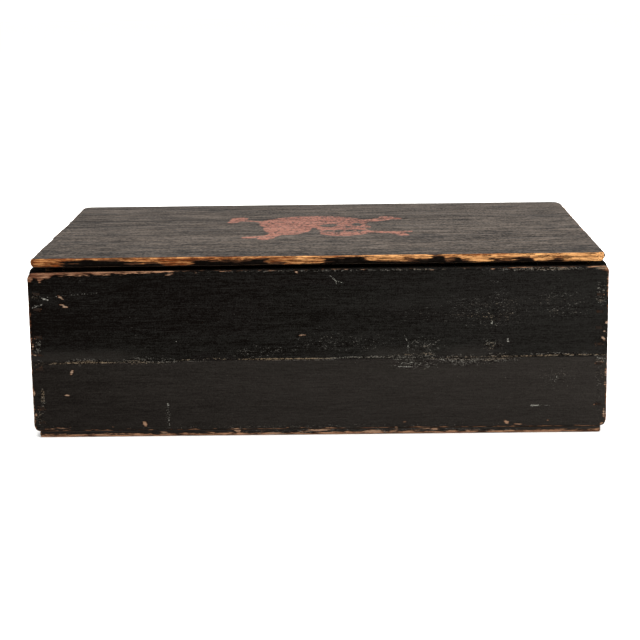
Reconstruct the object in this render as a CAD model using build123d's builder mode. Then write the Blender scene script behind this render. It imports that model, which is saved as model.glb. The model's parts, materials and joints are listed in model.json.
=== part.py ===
from build123d import *
import os

# A low, wide box of painted pine boards with a lid on two butt hinges. All sizes are millimetres.
# The origin is the middle of the underside, X runs to the right, Y to the back and Z up.

# Case: front and back boards lap over the ends of the end boards
case_width = 610.0
case_depth = 400.0
side_thickness = 12.7
end_thickness = 19.0
lower_board_height = 76.0
side_upper_height = 96.5

# Bottom boards, nailed on from below
bottom_thickness = 6.5
bottom_end_inset = 6.0
bottom_front_width = 138.0
bottom_rear_width = 126.0

# Lid of three boards
lid_thickness = 10.5
lid_side_inset = 2.0
lid_front_setback = 5.0
lid_front_width = 150.0
lid_rear_width = 130.0

# How far each lid board's ends fall short: left end at its front and rear edge, then right end
lid_front_trims = (0.0, 0.4, 0.0, 0.3)
lid_middle_trims = (0.5, 1.6, 1.1, 0.9)
lid_rear_trims = (1.2, 0.0, 0.6, 0.0)

# Battens under the lid
batten_width = 38.0
batten_thickness = 12.7
batten_end_gap = 40.0
batten_side_gap = 12.0
batten_chamfer = 3.0

# Butt hinges of rolled sheet iron, with their leaves lying flat between back board and lid
hinge_length = 50.8
hinge_from_end = 115.0
leaf_thickness = 1.5
leaf_depth = 12.0
leaf_gap = 0.5
knuckle_count = 3
knuckle_gap = 0.3
knuckle_to_back = 0.3
curl_slit = 0.35
pin_radius = 1.5
pin_clearance = 0.08

# Slotted screws with blunt ends, as early ones have, and heads countersunk through the whole leaf.
# Their holes in the wood have few sides, each just clear of the shank.
screw_radius = 1.4
screw_fit = 0.05
pilot_hole_sides = 8
screw_slot_width = 0.6
screw_slot_depth = 0.6
screws_per_leaf = 2
screw_spacing = 30.0
screw_from_edge = 6.4
case_screw_length = 16.0
lid_screw_length = 9.0

# Cut nails: an oblong head, and a shank that tapers on two sides
nail_head_length = 6.3
nail_thickness = 2.6
nail_head_thickness = 1.2
nail_neck_width = 3.2
nail_tip_width = 1.4
nail_sink = 0.6
nail_fit = 0.05
corner_nail_length = 44.0
bottom_nail_length = 30.0
batten_nail_length = 20.0

# Where the corner nails stand, as shares of the height of the board that they hold
front_left_lower_nails = (0.13, 0.34, 0.90)
front_left_upper_nails = (0.08, 0.28, 0.59, 0.76)
front_right_lower_nails = (0.32, 0.90)
front_right_upper_nails = (0.14, 0.32, 0.50, 0.69)
back_lower_nails = (0.24, 0.80)
back_upper_nails = (0.16, 0.50, 0.84)

# Bottom nails: rows along the ends and along the front and back, kept clear of the corner nails
bottom_end_nails = 4
bottom_end_nail_from_corner = 62.0
bottom_side_nails = 4
bottom_side_nail_from_corner = 53.0

# Wear of the boards: bevelled and rounded arrises, sharper ones where two boards meet
arris_wear = 1.4
joint_wear = 0.5
lower_edge_wear = 5.0
lid_arris_wear = 2.2
lid_under_wear = 0.8
lid_corner_wear = 3.0

# Sizes that follow
joint_level = bottom_thickness + lower_board_height
hinge_stack = 2 * leaf_thickness + leaf_gap
end_upper_height = side_upper_height + hinge_stack
side_top = joint_level + side_upper_height
lid_underside = joint_level + end_upper_height
lid_top = lid_underside + lid_thickness
lid_half_width = case_width / 2 - lid_side_inset
lid_front = -case_depth / 2 + lid_front_setback
lid_rear = case_depth / 2
lid_front_joint = lid_front + lid_front_width
lid_rear_joint = lid_rear - lid_rear_width
inner_depth = case_depth - 2 * side_thickness
inner_half_width = case_width / 2 - end_thickness
end_middle = case_width / 2 - end_thickness / 2
side_middle = case_depth / 2 - side_thickness / 2
hinge_offset = case_width / 2 - hinge_from_end
batten_offset = inner_half_width - batten_side_gap - batten_width / 2
knuckle_radius = pin_radius + pin_clearance + leaf_thickness
hinge_y = case_depth / 2 + knuckle_radius + knuckle_to_back
hinge_z = lid_underside - hinge_stack / 2
knuckle_length = (hinge_length - (knuckle_count - 1) * knuckle_gap) / knuckle_count
screw_head_height = leaf_thickness
screw_head_radius = screw_radius + screw_head_height

SIDES = (("left", -1), ("right", 1))

os.makedirs("parts", exist_ok=True)


def cut_nail(place, length):
    """A nail driven in on a plane whose Z points out of the wood."""
    neck = place.offset(-nail_sink - nail_head_thickness)
    with BuildPart() as nail:
        with BuildSketch(neck):
            Rectangle(nail_head_length, nail_thickness)
        extrude(amount=nail_head_thickness)
        with BuildSketch(neck):
            Rectangle(nail_neck_width, nail_thickness)
        with BuildSketch(place.offset(-length)):
            Rectangle(nail_tip_width, nail_thickness)
        loft(ruled=True)
    return nail.part


def nail_hole(place, length):
    """The room that the same nail takes in the boards, open to the surface."""
    neck = place.offset(-nail_sink - nail_head_thickness)
    with BuildPart() as hole:
        with BuildSketch(neck):
            Rectangle(nail_head_length + 2 * nail_fit, nail_thickness + 2 * nail_fit)
        extrude(amount=2 * nail_sink + nail_head_thickness)
        with BuildSketch(neck):
            Rectangle(nail_neck_width + 2 * nail_fit, nail_thickness + 2 * nail_fit)
        with BuildSketch(place.offset(-length - nail_fit)):
            Rectangle(nail_tip_width + 2 * nail_fit, nail_thickness + 2 * nail_fit)
        loft(ruled=True)
    return hole.part


def wood_screw(place, length):
    """A screw with its flat head level with a plane whose Z points out of the wood."""
    section = Plane(origin=place.origin, x_dir=place.x_dir, z_dir=-place.y_dir)
    with BuildPart() as screw:
        with BuildSketch(section):
            with BuildLine():
                Polyline(
                    (0, 0),
                    (screw_head_radius, 0),
                    (screw_radius, -screw_head_height),
                    (screw_radius, -length),
                    (0, -length),
                    close=True,
                )
            make_face()
        revolve(axis=Axis(place.origin, place.z_dir))
        with BuildSketch(place):
            Rectangle(2 * screw_head_radius, screw_slot_width)
        extrude(amount=-screw_slot_depth, mode=Mode.SUBTRACT)
    return screw.part


def spread(count, reach):
    """Evenly spaced places from -reach to reach."""
    return [reach * (2 * i / (count - 1) - 1) for i in range(count)]


def corner_nail_places(face, side, base, height, shares):
    """Planes of the nails at one end of a front or back board: face is -1 at the front, 1 at the back."""
    across = Vector(1, 0, 0)
    outward = Vector(0, face, 0)
    places = []
    for share in shares:
        point = (side * end_middle, face * case_depth / 2, base + share * height)
        places.append(Plane(origin=point, x_dir=across, z_dir=outward))
    return places


# Places of every nail and screw
lower_tier = (bottom_thickness, lower_board_height)
upper_tier = (joint_level, side_upper_height)
front_nail_places = {
    "left": corner_nail_places(-1, -1, *lower_tier, front_left_lower_nails)
    + corner_nail_places(-1, -1, *upper_tier, front_left_upper_nails),
    "right": corner_nail_places(-1, 1, *lower_tier, front_right_lower_nails)
    + corner_nail_places(-1, 1, *upper_tier, front_right_upper_nails),
}
back_nail_places = {
    name: corner_nail_places(1, side, *lower_tier, back_lower_nails)
    + corner_nail_places(1, side, *upper_tier, back_upper_nails)
    for name, side in SIDES
}
bottom_end_rows = spread(bottom_end_nails, case_depth / 2 - bottom_end_nail_from_corner)
bottom_side_rows = spread(bottom_side_nails, case_width / 2 - bottom_side_nail_from_corner)
bottom_nail_points = [(side * end_middle, y, 0) for name, side in SIDES for y in bottom_end_rows]
bottom_nail_points += [(x, side * side_middle, 0) for name, side in SIDES for x in bottom_side_rows]
bottom_nail_places = [Plane(origin=point, x_dir=(1, 0, 0), z_dir=(0, 0, -1)) for point in bottom_nail_points]

# Two nails through each batten into each lid board, a quarter of the board's held stretch from its edges
batten_half_length = inner_depth / 2 - batten_end_gap
lid_stretches = (
    (-batten_half_length, lid_front_joint),
    (lid_front_joint, lid_rear_joint),
    (lid_rear_joint, batten_half_length),
)
batten_nail_rows = [a + (b - a) * share for a, b in lid_stretches for share in (0.25, 0.75)]
batten_nail_places = {
    name: [
        Plane(origin=(side * batten_offset, y, lid_underside - batten_thickness), z_dir=(0, 0, -1))
        for y in batten_nail_rows
    ]
    for name, side in SIDES
}

screw_y = case_depth / 2 - screw_from_edge
screw_shifts = [screw_spacing * (i - (screws_per_leaf - 1) / 2) for i in range(screws_per_leaf)]
case_screw_places = {
    name: [
        Plane(origin=(side * hinge_offset + shift, screw_y, side_top + leaf_thickness), z_dir=(0, 0, 1))
        for shift in screw_shifts
    ]
    for name, side in SIDES
}
lid_screw_places = {
    name: [
        Plane(origin=(side * hinge_offset + shift, screw_y, lid_underside - leaf_thickness), z_dir=(0, 0, -1))
        for shift in screw_shifts
    ]
    for name, side in SIDES
}

front_nail_holes = {
    name: [nail_hole(place, corner_nail_length) for place in front_nail_places[name]] for name, side in SIDES
}
back_nail_holes = {
    name: [nail_hole(place, corner_nail_length) for place in back_nail_places[name]] for name, side in SIDES
}
bottom_nail_holes = [nail_hole(place, bottom_nail_length) for place in bottom_nail_places]
batten_nail_holes = {
    name: [nail_hole(place, batten_nail_length) for place in batten_nail_places[name]] for name, side in SIDES
}

# Front and back boards
for face_name, face, corner_holes in (("front", -1, front_nail_holes), ("back", 1, back_nail_holes)):
    for tier_name, base, height in (("lower", *lower_tier), ("upper", *upper_tier)):
        with BuildPart() as side_board:
            with BuildSketch(Plane.XY.offset(base)):
                with Locations((0, face * side_middle)):
                    Rectangle(case_width, side_thickness)
            extrude(amount=height)
            if tier_name == "lower":
                low_corners = side_board.edges().filter_by(Axis.Y).group_by(Axis.Z)[0]
                fillet(low_corners, radius=lower_edge_wear)
            joint_row = -1 if tier_name == "lower" else 0
            outer = side_board.faces().sort_by(Axis.Y)[-1 if face == 1 else 0]
            joint_edge = outer.edges().filter_by(Axis.X).sort_by(Axis.Z)[joint_row]
            chamfer(outer.edges() - [joint_edge], length=arris_wear)
            outer = side_board.faces().sort_by(Axis.Y)[-1 if face == 1 else 0]
            chamfer(outer.edges().filter_by(Axis.X).sort_by(Axis.Z)[joint_row], length=joint_wear)
            add(corner_holes["left"] + corner_holes["right"], mode=Mode.SUBTRACT)
            if tier_name == "lower":
                add(bottom_nail_holes, mode=Mode.SUBTRACT)
            if face == 1 and tier_name == "upper":
                with BuildSketch(*case_screw_places["left"], *case_screw_places["right"]):
                    RegularPolygon(screw_radius + screw_fit, pilot_hole_sides, major_radius=False)
                extrude(amount=-case_screw_length - screw_fit, mode=Mode.SUBTRACT)
        side_board.part.label = f"{face_name}_{tier_name}_board"
        export_step(side_board.part, f"parts/{face_name}_{tier_name}_board.step")

# End boards, between the front and back boards and standing higher by the two hinge leaves
for side_name, side in SIDES:
    for tier_name, base, height in (
        ("lower", bottom_thickness, lower_board_height),
        ("upper", joint_level, end_upper_height),
    ):
        with BuildPart() as end_board:
            with BuildSketch(Plane.XY.offset(base)):
                with Locations((side * end_middle, 0)):
                    Rectangle(end_thickness, inner_depth)
            extrude(amount=height)
            outer = end_board.faces().sort_by(Axis.X)[-1 if side == 1 else 0]
            long_edges = outer.edges().filter_by(Axis.Y).sort_by(Axis.Z)
            if tier_name == "lower":
                fillet(long_edges[0], radius=lower_edge_wear)
                chamfer(long_edges[-1], length=joint_wear)
            else:
                chamfer(long_edges[0], length=joint_wear)
                chamfer(long_edges[-1], length=arris_wear)
            add(front_nail_holes[side_name] + back_nail_holes[side_name], mode=Mode.SUBTRACT)
            if tier_name == "lower":
                add(bottom_nail_holes, mode=Mode.SUBTRACT)
        end_board.part.label = f"{side_name}_end_{tier_name}_board"
        export_step(end_board.part, f"parts/{side_name}_end_{tier_name}_board.step")

# Bottom boards, running from end to end
bottom_front = -case_depth / 2
bottom_rear = case_depth / 2
bottom_front_joint = bottom_front + bottom_front_width
bottom_rear_joint = bottom_rear - bottom_rear_width
bottom_boards = (
    ("bottom_front_board", bottom_front, bottom_front_joint, arris_wear, joint_wear),
    ("bottom_middle_board", bottom_front_joint, bottom_rear_joint, joint_wear, joint_wear),
    ("bottom_rear_board", bottom_rear_joint, bottom_rear, joint_wear, arris_wear),
)
for board_name, near, far, near_wear, far_wear in bottom_boards:
    with BuildPart() as bottom_board:
        with BuildSketch(Plane.XY):
            with Locations((0, (near + far) / 2)):
                Rectangle(case_width - 2 * bottom_end_inset, far - near)
        extrude(amount=bottom_thickness)
        for row, wear in ((0, near_wear), (-1, far_wear)):
            under = bottom_board.faces().sort_by(Axis.Z)[0]
            chamfer(under.edges().filter_by(Axis.X).sort_by(Axis.Y)[row], length=wear)
        under = bottom_board.faces().sort_by(Axis.Z)[0]
        chamfer(under.edges().filter_by(Axis.Y), length=arris_wear)
        add(bottom_nail_holes, mode=Mode.SUBTRACT)
    bottom_board.part.label = board_name
    export_step(bottom_board.part, f"parts/{board_name}.step")

# Lid boards, with ends that step where they meet
lid_boards = (
    ("lid_front_board", lid_front, lid_front_joint, lid_front_trims, [0], [-1]),
    ("lid_middle_board", lid_front_joint, lid_rear_joint, lid_middle_trims, [], [0, -1]),
    ("lid_rear_board", lid_rear_joint, lid_rear, lid_rear_trims, [-1], [0]),
)
for board_name, near, far, trims, outer_rows, joint_rows in lid_boards:
    left_near, left_far, right_near, right_far = trims
    with BuildPart() as lid_board:
        with BuildSketch(Plane.XY.offset(lid_underside)):
            with BuildLine():
                Polyline(
                    (-lid_half_width + left_near, near),
                    (lid_half_width - right_near, near),
                    (lid_half_width - right_far, far),
                    (-lid_half_width + left_far, far),
                    close=True,
                )
            make_face()
        extrude(amount=lid_thickness)
        for row in outer_rows:
            fillet(lid_board.edges().filter_by(Axis.Z).group_by(Axis.Y)[row], radius=lid_corner_wear)
        rim = lid_board.faces().sort_by(Axis.Z)[-1].edges()
        long_edges = rim.filter_by(Axis.X).sort_by(Axis.Y)
        fillet(rim - [long_edges[row] for row in joint_rows], radius=lid_arris_wear)
        rim = lid_board.faces().sort_by(Axis.Z)[0].edges()
        long_edges = rim.filter_by(Axis.X).sort_by(Axis.Y)
        chamfer(rim - [long_edges[row] for row in joint_rows], length=lid_under_wear)
        for row in joint_rows:
            long_edges = lid_board.faces().sort_by(Axis.Z)[-1].edges().filter_by(Axis.X).sort_by(Axis.Y)
            chamfer(long_edges[row], length=joint_wear)
        add(batten_nail_holes["left"] + batten_nail_holes["right"], mode=Mode.SUBTRACT)
        if board_name == "lid_rear_board":
            with BuildSketch(*lid_screw_places["left"], *lid_screw_places["right"]):
                RegularPolygon(screw_radius + screw_fit, pilot_hole_sides, major_radius=False)
            extrude(amount=-lid_screw_length - screw_fit, mode=Mode.SUBTRACT)
    lid_board.part.label = board_name
    export_step(lid_board.part, f"parts/{board_name}.step")

# Battens across the three lid boards
for side_name, side in SIDES:
    with BuildPart() as batten:
        with BuildSketch(Plane.XY.offset(lid_underside - batten_thickness)):
            with Locations((side * batten_offset, 0)):
                Rectangle(batten_width, 2 * batten_half_length)
        extrude(amount=batten_thickness)
        chamfer(batten.faces().sort_by(Axis.Z)[0].edges(), length=batten_chamfer)
        add(batten_nail_holes[side_name], mode=Mode.SUBTRACT)
    batten.part.label = f"lid_{side_name}_batten"
    export_step(batten.part, f"parts/lid_{side_name}_batten.step")

# Nails
nail_groups = [("bottom_nails", bottom_nail_places, bottom_nail_length)]
for side_name, side in SIDES:
    nail_groups.append((f"front_{side_name}_nails", front_nail_places[side_name], corner_nail_length))
    nail_groups.append((f"back_{side_name}_nails", back_nail_places[side_name], corner_nail_length))
    nail_groups.append((f"lid_{side_name}_batten_nails", batten_nail_places[side_name], batten_nail_length))
for group_name, places, length in nail_groups:
    with BuildPart() as nails:
        add([cut_nail(place, length) for place in places])
    nails.part.label = group_name
    export_step(nails.part, f"parts/{group_name}.step")


def hinge_leaf(centre, facing, places):
    """One leaf of a butt hinge: facing is -1 for the leaf on the case and 1 for the leaf on the lid.

    Every second knuckle is the leaf's own sheet, curled round the pin until its end all but meets the leaf.
    """
    start = centre - hinge_length / 2
    back_face = case_depth / 2
    face_level = hinge_z + facing * leaf_gap / 2
    web_level = face_level + facing * leaf_thickness / 2
    slit_level = face_level - facing * curl_slit / 2
    web_end = hinge_y - (pin_radius + knuckle_radius) / 2
    first = 0 if facing == -1 else 1
    with BuildPart() as leaf:
        with BuildSketch(Plane.XY.offset(face_level)):
            with Locations((centre, back_face - leaf_depth / 2)):
                Rectangle(hinge_length, leaf_depth)
        extrude(amount=facing * leaf_thickness)
        for i in range(first, knuckle_count, 2):
            with BuildSketch(Plane.YZ.offset(start + i * (knuckle_length + knuckle_gap))):
                with Locations((hinge_y, hinge_z)):
                    Circle(knuckle_radius)
                    Circle(pin_radius + pin_clearance, mode=Mode.SUBTRACT)
                with Locations(((hinge_y + web_end) / 2 - knuckle_radius / 2, slit_level)):
                    Rectangle(hinge_y - web_end + knuckle_radius, curl_slit, mode=Mode.SUBTRACT)
                with Locations(((back_face + web_end) / 2, web_level)):
                    Rectangle(web_end - back_face, leaf_thickness)
            extrude(amount=knuckle_length)
        with Locations(*[place.offset(-leaf_thickness / 2) for place in places]):
            Cone(screw_radius + screw_fit, screw_head_radius + screw_fit, leaf_thickness, mode=Mode.SUBTRACT)
    return leaf.part


# Hinges
for side_name, side in SIDES:
    centre = side * hinge_offset
    for leaf_name, facing, places, length in (
        ("case", -1, case_screw_places[side_name], case_screw_length),
        ("lid", 1, lid_screw_places[side_name], lid_screw_length),
    ):
        with BuildPart() as leaf:
            add(hinge_leaf(centre, facing, places))
        leaf.part.label = f"{side_name}_hinge_{leaf_name}_leaf"
        export_step(leaf.part, f"parts/{side_name}_hinge_{leaf_name}_leaf.step")

        with BuildPart() as screws:
            add([wood_screw(place, length) for place in places])
        screws.part.label = f"{side_name}_hinge_{leaf_name}_screws"
        export_step(screws.part, f"parts/{side_name}_hinge_{leaf_name}_screws.step")

    with BuildPart() as pin:
        with BuildSketch(Plane.YZ.offset(centre - hinge_length / 2)):
            with Locations((hinge_y, hinge_z)):
                Circle(pin_radius)
        extrude(amount=hinge_length)
    pin.part.label = f"{side_name}_hinge_pin"
    export_step(pin.part, f"parts/{side_name}_hinge_pin.step")
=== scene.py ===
import itertools
import json
import math

import bpy
import numpy as np
from mathutils import Matrix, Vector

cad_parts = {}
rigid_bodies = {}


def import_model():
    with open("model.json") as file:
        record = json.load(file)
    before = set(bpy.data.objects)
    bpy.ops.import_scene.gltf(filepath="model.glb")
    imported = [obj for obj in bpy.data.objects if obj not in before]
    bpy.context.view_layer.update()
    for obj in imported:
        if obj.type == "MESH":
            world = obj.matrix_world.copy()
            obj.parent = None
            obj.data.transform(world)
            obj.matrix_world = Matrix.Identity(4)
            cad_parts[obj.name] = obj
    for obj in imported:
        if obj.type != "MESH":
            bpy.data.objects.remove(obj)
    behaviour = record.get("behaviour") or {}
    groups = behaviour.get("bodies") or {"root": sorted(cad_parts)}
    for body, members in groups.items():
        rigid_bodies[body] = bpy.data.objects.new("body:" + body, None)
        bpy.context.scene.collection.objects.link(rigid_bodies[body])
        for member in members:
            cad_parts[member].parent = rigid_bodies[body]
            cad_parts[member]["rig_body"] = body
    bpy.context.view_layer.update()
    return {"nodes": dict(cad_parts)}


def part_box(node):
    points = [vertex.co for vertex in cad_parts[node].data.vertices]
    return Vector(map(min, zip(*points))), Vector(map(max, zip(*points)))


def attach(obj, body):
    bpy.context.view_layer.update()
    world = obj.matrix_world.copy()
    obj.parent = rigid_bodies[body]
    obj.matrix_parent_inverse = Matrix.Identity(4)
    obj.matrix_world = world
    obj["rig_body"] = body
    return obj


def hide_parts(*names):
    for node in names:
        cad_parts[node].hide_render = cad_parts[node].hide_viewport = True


bl_info = {
    "name": "Worn painted pine box",
    "version": (1, 0, 0),
    "blender": (4, 5, 0),
    "location": "3D View > Sidebar > Pine Box",
    "description": "Dresses the pine box: worn boards, painted figure, iron fittings and a plain stage",
    "category": "Add Mesh",
}

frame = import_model()

MM = 0.001

# A board's six faces, as its axis and the side of the board on that axis
FACES = {
    "left": (0, -1),
    "right": (0, 1),
    "front": (1, -1),
    "back": (1, 1),
    "under": (2, -1),
    "top": (2, 1),
}

# How far each lid board's ends fall short, in mm: left end at its front and rear edge, then right end
LID_END_TRIMS = {
    "lid_front_board": (0.0, 0.4, 0.0, 0.3),
    "lid_middle_board": (0.5, 1.6, 1.1, 0.9),
    "lid_rear_board": (1.2, 0.0, 0.6, 0.0),
}

# Bare share of the height of the lid's front edge, from its top down, at places along the lid in mm
LID_EDGE_BARE = (
    (-303, 1.25), (-276, 1.15), (-268, 0.42), (-252, 0.32), (-246, 0.12), (-234, 0.15), (-210, 0.22),
    (-204, 0.5), (-188, 0.6), (-170, 0.52), (-164, 1.0), (-134, 1.08), (-128, 0.3), (-112, 0.24),
    (-105, 0.5), (-86, 0.5), (-70, 0.3), (-56, 0.14), (-50, 0.66), (-37, 0.6), (-30, 1.1), (0, 1.1),
    (6, 0.26), (40, 0.22), (52, 0.06), (58, 0.6), (90, 0.56), (97, 0.4), (112, 0.4), (118, 0.06),
    (127, 0.06), (131, 0.6), (140, 0.55), (144, 0.1), (149, 0.7), (176, 0.85), (183, 0.45), (189, 0.7),
    (203, 0.6), (216, 0.3), (222, 0.34), (226, 0.85), (243, 0.88), (250, 0.6), (258, 0.75), (264, 1.1),
    (303, 1.3),
)

# Reach of the bare wood from the front board's top arris, in mm, at places along it in mm
RIM_BARE = (
    (-305, 9.0), (-292, 7.5), (-284, 5.5), (-277, 3.2), (-240, 3.3), (-200, 2.6), (-158, 1.5), (-146, -0.2),
    (-60, -0.5), (190, -0.9), (205, -0.4), (272, -0.4), (286, 0.4), (293, 2.4), (305, 5.5),
)

# How pale the bare wood of that arris is, at places along it in mm
RIM_PALE = ((-305, -0.1), (-280, 0.1), (-262, 0.55), (-180, 0.85), (-140, 0.5), (305, 0.5))

# How far the front board's top has worn lower, in mm, at places along it in mm
RIM_HOLLOW = ((-305, 0.9), (-230, 0.4), (-120, 0.1), (0, 0.0), (305, 0.0))

# Paint chips on the front in mm: place along, height, half width, half height, and how far the chip leans
FRONT_CHIPS = (
    (-270, 152, 2.8, 1.3, 0.5), (-267, 143, 3.4, 1.4, 0.35), (-262, 71, 1.7, 2.4, -0.6),
    (-268, 46, 2.8, 1.2, 0.0), (-17, 109, 3.4, 0.8, 0.0), (-279, 9.4, 9.0, 0.7, 0.0),
    (-266, 11.3, 1.2, 1.2, 0.0), (-221, 10.7, 1.6, 1.1, 0.0), (-186, 13.6, 2.3, 2.6, 0.4),
    (-166, 4.0, 4.6, 1.5, 0.1), (-134, 10.2, 1.3, 1.3, 0.0), (-88, 6.0, 4.4, 2.1, 0.1),
    (-61, 5.0, 3.4, 1.3, 0.0), (-45, 1.8, 8.5, 1.2, 0.0), (-1, 5.3, 13.5, 1.7, 0.0),
    (57, 3.3, 10.0, 1.5, 0.0), (60, 7.3, 8.0, 0.6, 0.0), (82, 6.3, 3.2, 1.7, 0.0),
    (110, 5.8, 6.5, 1.2, 0.0), (124, 5.0, 4.2, 1.2, 0.0), (91, 13.5, 3.2, 0.8, 0.0),
    (199, 11.8, 2.6, 2.2, 0.5), (213, 9.2, 4.2, 0.7, 0.0), (243, 12.7, 1.5, 0.9, 0.0),
    (-156, 175.6, 3.4, 0.7, 0.0), (-127, 177, 1.2, 0.5, 0.0), (-22, 176.6, 1.6, 0.9, 0.0),
    (-302, 99, 1.2, 2.8, 0.0), (-300, 90, 1.8, 1.0, 0.3), (-303, 48, 1.0, 2.6, 0.0),
    (-302, 26, 1.0, 2.0, 0.0), (303, 118, 1.2, 3.0, 0.0), (301, 110, 1.6, 1.6, 0.0),
    (300, 102, 2.4, 2.0, 0.4), (303, 60, 0.6, 8.0, 0.0), (302, 22, 1.2, 6.0, 0.0), (300, 9, 2.4, 1.4, 0.0),
    (183, 177, 1.6, 0.7, 0.0), (120, 177, 1.4, 0.5, 0.0),
)

# The knot in the front's upper board in mm: place along, height, half width, half height
KNOT = (-5, 126, 9, 8)

# Scratches and scuffs on the front in mm: both ends, half width
FRONT_SCUFFS = (
    (14, 172, 20, 165, 0.6), (20, 165, 19, 161, 0.3), (22, 166, 28, 164, 0.3), (181, 165, 188, 163, 0.0),
    (188, 163, 193, 166, 0.0), (253, 167, 255, 166, 0.2), (91, 108, 94, 98, 0.3), (94, 98, 96, 88, 0.5),
    (180, 137, 182, 124, 0.1), (183, 122, 182, 116, 0.5), (176, 99, 182, 96, 0.1), (182, 96, 185, 92, 0.1),
    (199, 104, 200, 99, 0.4), (225, 30, 233, 30, 0.9), (233, 30, 244, 29.6, 0.3), (254, 72, 252, 62, 0.0),
    (252, 62, 249, 54, 0.3), (-286, 153, -258, 155, 0.05), (-161, 39, -160, 10, 0.3), (77, 84, 86, 82, 0.0),
    (86, 82, 95, 84, 0.0), (79, 79, 90, 77, 0.2), (90, 77, 102, 79, 0.2), (84, 74, 99, 73, 0.2),
    (128, 82, 140, 79, 0.0), (140, 79, 152, 80, 0.0), (-158, 99, -148, 104, 0.0),
    (-299, 157, -288, 151, 0.5), (-258, 155, -232, 156.5, -0.05), (-203, 107, -196, 113, 0.0),
    (-191, 107, -193, 113, -0.1), (-288, 151, -284, 150, 1.0), (-300, 142, -290, 145, 0.5),
    (294, 81, 303, 80, 0.2), (296, 76, 303, 78, 0.1),
)

# Crusted and dusty patches on the front in mm: place along, height, half width, half height, strength
FRONT_CRUST = (
    (-250, 82.5, 42, 6, 0.66), (-192, 83, 26, 7, 0.68), (-162, 82, 20, 7, 0.6), (-110, 84, 30, 4, 0.5),
    (-60, 92, 60, 12, 0.4), (90, 84, 30, 7, 0.66), (112, 85, 24, 8, 0.62), (105, 76, 44, 9, 0.58),
    (150, 80, 40, 11, 0.66), (190, 82, 36, 9, 0.66), (250, 85, 60, 5, 0.6), (183, 97, 18, 11, 0.56),
    (110, 98, 34, 14, 0.48), (30, 100, 90, 16, 0.36), (180, 135, 70, 30, 0.42), (255, 140, 44, 30, 0.38),
    (120, 130, 50, 20, 0.28), (-296, 154, 8, 6, 0.5), (-297, 142, 7, 6, 0.5), (-297, 100, 6, 18, 0.6),
    (-296, 82, 8, 6, 0.65), (-294, 42, 4, 22, 0.75), (-298, 20, 6, 16, 0.6), (296, 60, 7, 50, 0.4),
    (297, 150, 9, 22, 0.6), (296, 80, 10, 8, 0.6), (-161, 24, 4, 18, 0.6), (0, 9, 300, 4, 0.45),
    (250, 60, 30, 20, 0.35), (30, 178, 250, 2.2, 0.62), (236, 177, 84, 3.6, 0.8), (296, 178, 12, 4, 1.0),
    (60, 4, 260, 6, 0.5),
)

# The crusted line along the joint of the front boards in mm: place along, height, half width, strength
JOINT_CRUST = (
    (-303, 79, 1.0, 0.5), (-291, 80.5, 1.1, 0.6), (-268, 81.3, 1.3, 0.8), (-243, 82.4, 1.4, 1.0),
    (-218, 81.2, 1.2, 0.8), (-192, 82.9, 1.3, 0.9), (-167, 80.8, 1.0, 0.65), (-141, 83.2, 1.2, 0.9),
    (-116, 82.2, 1.0, 0.5), (-90, 83.3, 0.9, 0.55), (-78, 83.3, 1.0, 0.8), (-52, 83.2, 1.2, 1.05),
    (12, 82.9, 1.2, 1.05), (24, 84.0, 1.0, 0.75), (37, 84.4, 1.1, 0.95), (62, 84.6, 1.0, 0.7),
    (88, 83.6, 1.2, 0.8), (113, 83.0, 1.1, 0.75), (126, 81.5, 1.2, 0.8), (152, 80.1, 1.1, 0.85),
    (177, 79.6, 1.1, 0.85), (190, 80.8, 1.0, 0.8), (203, 82.4, 1.1, 0.75), (215, 83.5, 1.1, 0.8),
    (241, 84.3, 1.1, 0.85), (254, 85.2, 1.0, 0.85), (273, 84.6, 1.0, 0.75), (303, 84.3, 1.1, 0.9),
)

# Lightness of the front boards' paint: its middle, and how much more it is at the right end. The rise to the
# right is partly dustier paint and partly painted light from the right
FRONT_FADE_AND_LIGHT = {"upper": (0.42, 0.32), "lower": (0.47, 0.24)}

# Reach of the bare wood up the bottom board's front edge from its lower arris, and how far it wanders, in mm
BOTTOM_LINE = (3.3, 0.5)

# Reach of the bare wood up the front from its joint with the bottom board, in mm, at places along it in mm
SEAM_BARE = ((-305, 0.0), (-160, -0.4), (-130, 0.5), (60, 0.8), (120, 0.3), (290, -0.2), (305, 0.8))

# The painted figure in mm: how far its middle lies behind the middle of the lid, and its parts from its own
# middle, with Y to the back. An ellipse is its middle, half width and half height, and a tooth is its place
# along the mouth and half width
FIGURE_BEHIND = 4.0
CRANIUM = (-8, 32, 64, 57)
SKULL_BACK = (-36, -6, 29, 50)
CHEEK = (28, -2, 32, 26)
LOWER_JAW = (28, -36, 30, 34)
JAW_RIGHT = 58
LEFT_EYE = (10.5, 10.5, 10.5, 12)
RIGHT_EYE = (43.5, 17.5, 5.5, 12)
NOSE = (33, -1, 2.6, 5)
MOUTH = (29, -30, 25, 8)
TEETH = ((17, 1.1), (29, 1.3), (41, 1.3))

# Strokes of the figure in mm: both ends and half width. Those of the cleft are cut out, and the bones added
JAW_CLEFT = ((-6, -9, -11, -44, 2.2), (-6, -9, 0, -46, 2.2), (-6, -9, -5.5, -50, 3.0))
BONES = (
    (-66, 43, -88, 55, 3.8), (-97, 73, -98, 57, 10.5), (-99, 56, -104, 44, 6.5), (55, 43, 78, 60, 9.6),
    (78, 60, 79, 73, 8.5), (80, 66, 90, 60, 7.5), (-43, -28, -53, -62, 8.6), (-56, -66, -80, -73, 7.0),
    (-56, -66, -60, -80, 9.0), (54, -38, 84, -45, 7.2), (84, -45, 102, -40, 5.0), (86, -48, 95, -66, 7.0),
)

# How dark the dirt is that has spread from the lid's rear joint, at places along it in mm
JOINT_STREAK = (
    (-305, 0.1), (-160, 0.15), (-112, 0.5), (-50, 0.55), (-25, 0.15), (30, 0.2), (50, 0.5), (72, 0.45),
    (95, 0.12), (305, 0.15),
)


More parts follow.
